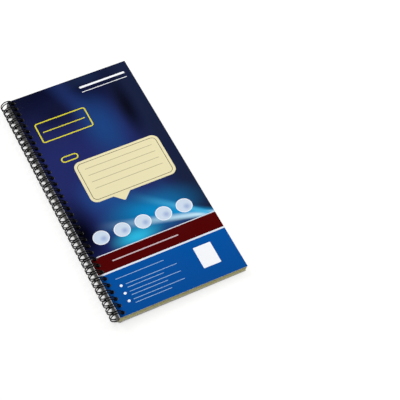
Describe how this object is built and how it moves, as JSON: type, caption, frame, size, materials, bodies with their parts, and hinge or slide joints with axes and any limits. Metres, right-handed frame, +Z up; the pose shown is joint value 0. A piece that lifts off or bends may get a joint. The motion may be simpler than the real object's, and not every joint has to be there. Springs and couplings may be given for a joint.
{
  "type": "phone message book",
  "caption": "A4-high phone message book: duplicate message sheets between glossy card covers, bound by a black twin-loop wire that lets the covers and leaves swing open.",
  "frame": {"origin": "on the table, under the middle of the closed book", "axes": "+X from the spine to the fore edge, +Y from the foot to the head, +Z up through the front cover"},
  "size_m": [0.1472, 0.297, 0.0149],
  "materials": {
    "cover_card": "gloss",
    "back_card": "matte",
    "message_paper": "matte",
    "coated_wire": "gloss"
  },
  "bodies": {
    "spine_and_back": {"twin_loop_wire": "coated_wire", "back_cover": "back_card"},
    "front_cover": {"front_cover": "cover_card"},
    "message_sheets_01": {"message_sheets_01": "message_paper"},
    "message_sheets_02": {"message_sheets_02": "message_paper"},
    "message_sheets_03": {"message_sheets_03": "message_paper"},
    "message_sheets_04": {"message_sheets_04": "message_paper"},
    "message_sheets_05": {"message_sheets_05": "message_paper"},
    "message_sheets_06": {"message_sheets_06": "message_paper"},
    "message_sheets_07": {"message_sheets_07": "message_paper"},
    "message_sheets_08": {"message_sheets_08": "message_paper"},
    "message_sheets_09": {"message_sheets_09": "message_paper"},
    "message_sheets_10": {"message_sheets_10": "message_paper"}
  },
  "joints": [
    {"name": "front_cover_hinge", "type": "hinge", "parent": "spine_and_back", "child": "front_cover", "pos_m": [-0.06607, 0, 0.0075], "axis": [0, -1, 0], "range_deg": [0, 183]},
    {"name": "message_sheets_01_turn", "type": "hinge", "parent": "spine_and_back", "child": "message_sheets_01", "pos_m": [-0.06607, 0, 0.0075], "axis": [0, -1, 0], "range_deg": [0, 179]},
    {"name": "message_sheets_02_turn", "type": "hinge", "parent": "spine_and_back", "child": "message_sheets_02", "pos_m": [-0.06607, 0, 0.0075], "axis": [0, -1, 0], "range_deg": [0, 176]},
    {"name": "message_sheets_03_turn", "type": "hinge", "parent": "spine_and_back", "child": "message_sheets_03", "pos_m": [-0.06607, 0, 0.0075], "axis": [0, -1, 0], "range_deg": [0, 172]},
    {"name": "message_sheets_04_turn", "type": "hinge", "parent": "spine_and_back", "child": "message_sheets_04", "pos_m": [-0.06607, 0, 0.0075], "axis": [0, -1, 0], "range_deg": [0, 168]},
    {"name": "message_sheets_05_turn", "type": "hinge", "parent": "spine_and_back", "child": "message_sheets_05", "pos_m": [-0.06607, 0, 0.0075], "axis": [0, -1, 0], "range_deg": [0, 163]},
    {"name": "message_sheets_06_turn", "type": "hinge", "parent": "spine_and_back", "child": "message_sheets_06", "pos_m": [-0.06607, 0, 0.0075], "axis": [0, -1, 0], "range_deg": [0, 16]},
    {"name": "message_sheets_07_turn", "type": "hinge", "parent": "spine_and_back", "child": "message_sheets_07", "pos_m": [-0.06607, 0, 0.0075], "axis": [0, -1, 0], "range_deg": [0, 12]},
    {"name": "message_sheets_08_turn", "type": "hinge", "parent": "spine_and_back", "child": "message_sheets_08", "pos_m": [-0.06607, 0, 0.0075], "axis": [0, -1, 0], "range_deg": [0, 8]},
    {"name": "message_sheets_09_turn", "type": "hinge", "parent": "spine_and_back", "child": "message_sheets_09", "pos_m": [-0.06607, 0, 0.0075], "axis": [0, -1, 0], "range_deg": [0, 5]},
    {"name": "message_sheets_10_turn", "type": "hinge", "parent": "spine_and_back", "child": "message_sheets_10", "pos_m": [-0.06607, 0, 0.0075], "axis": [0, -1, 0], "range_deg": [0, 3]}
  ],
  "couplings": [
    {"joint": "message_sheets_01_turn", "follows": "front_cover_hinge", "ratio": 0.97814},
    {"joint": "message_sheets_02_turn", "follows": "front_cover_hinge", "ratio": 0.96175},
    {"joint": "message_sheets_03_turn", "follows": "front_cover_hinge", "ratio": 0.93989},
    {"joint": "message_sheets_04_turn", "follows": "front_cover_hinge", "ratio": 0.91803},
    {"joint": "message_sheets_05_turn", "follows": "front_cover_hinge", "ratio": 0.89071},
    {"joint": "message_sheets_06_turn", "follows": "front_cover_hinge", "ratio": 0.087431},
    {"joint": "message_sheets_07_turn", "follows": "front_cover_hinge", "ratio": 0.065573},
    {"joint": "message_sheets_08_turn", "follows": "front_cover_hinge", "ratio": 0.043715},
    {"joint": "message_sheets_09_turn", "follows": "front_cover_hinge", "ratio": 0.027322},
    {"joint": "message_sheets_10_turn", "follows": "front_cover_hinge", "ratio": 0.016393}
  ]
}
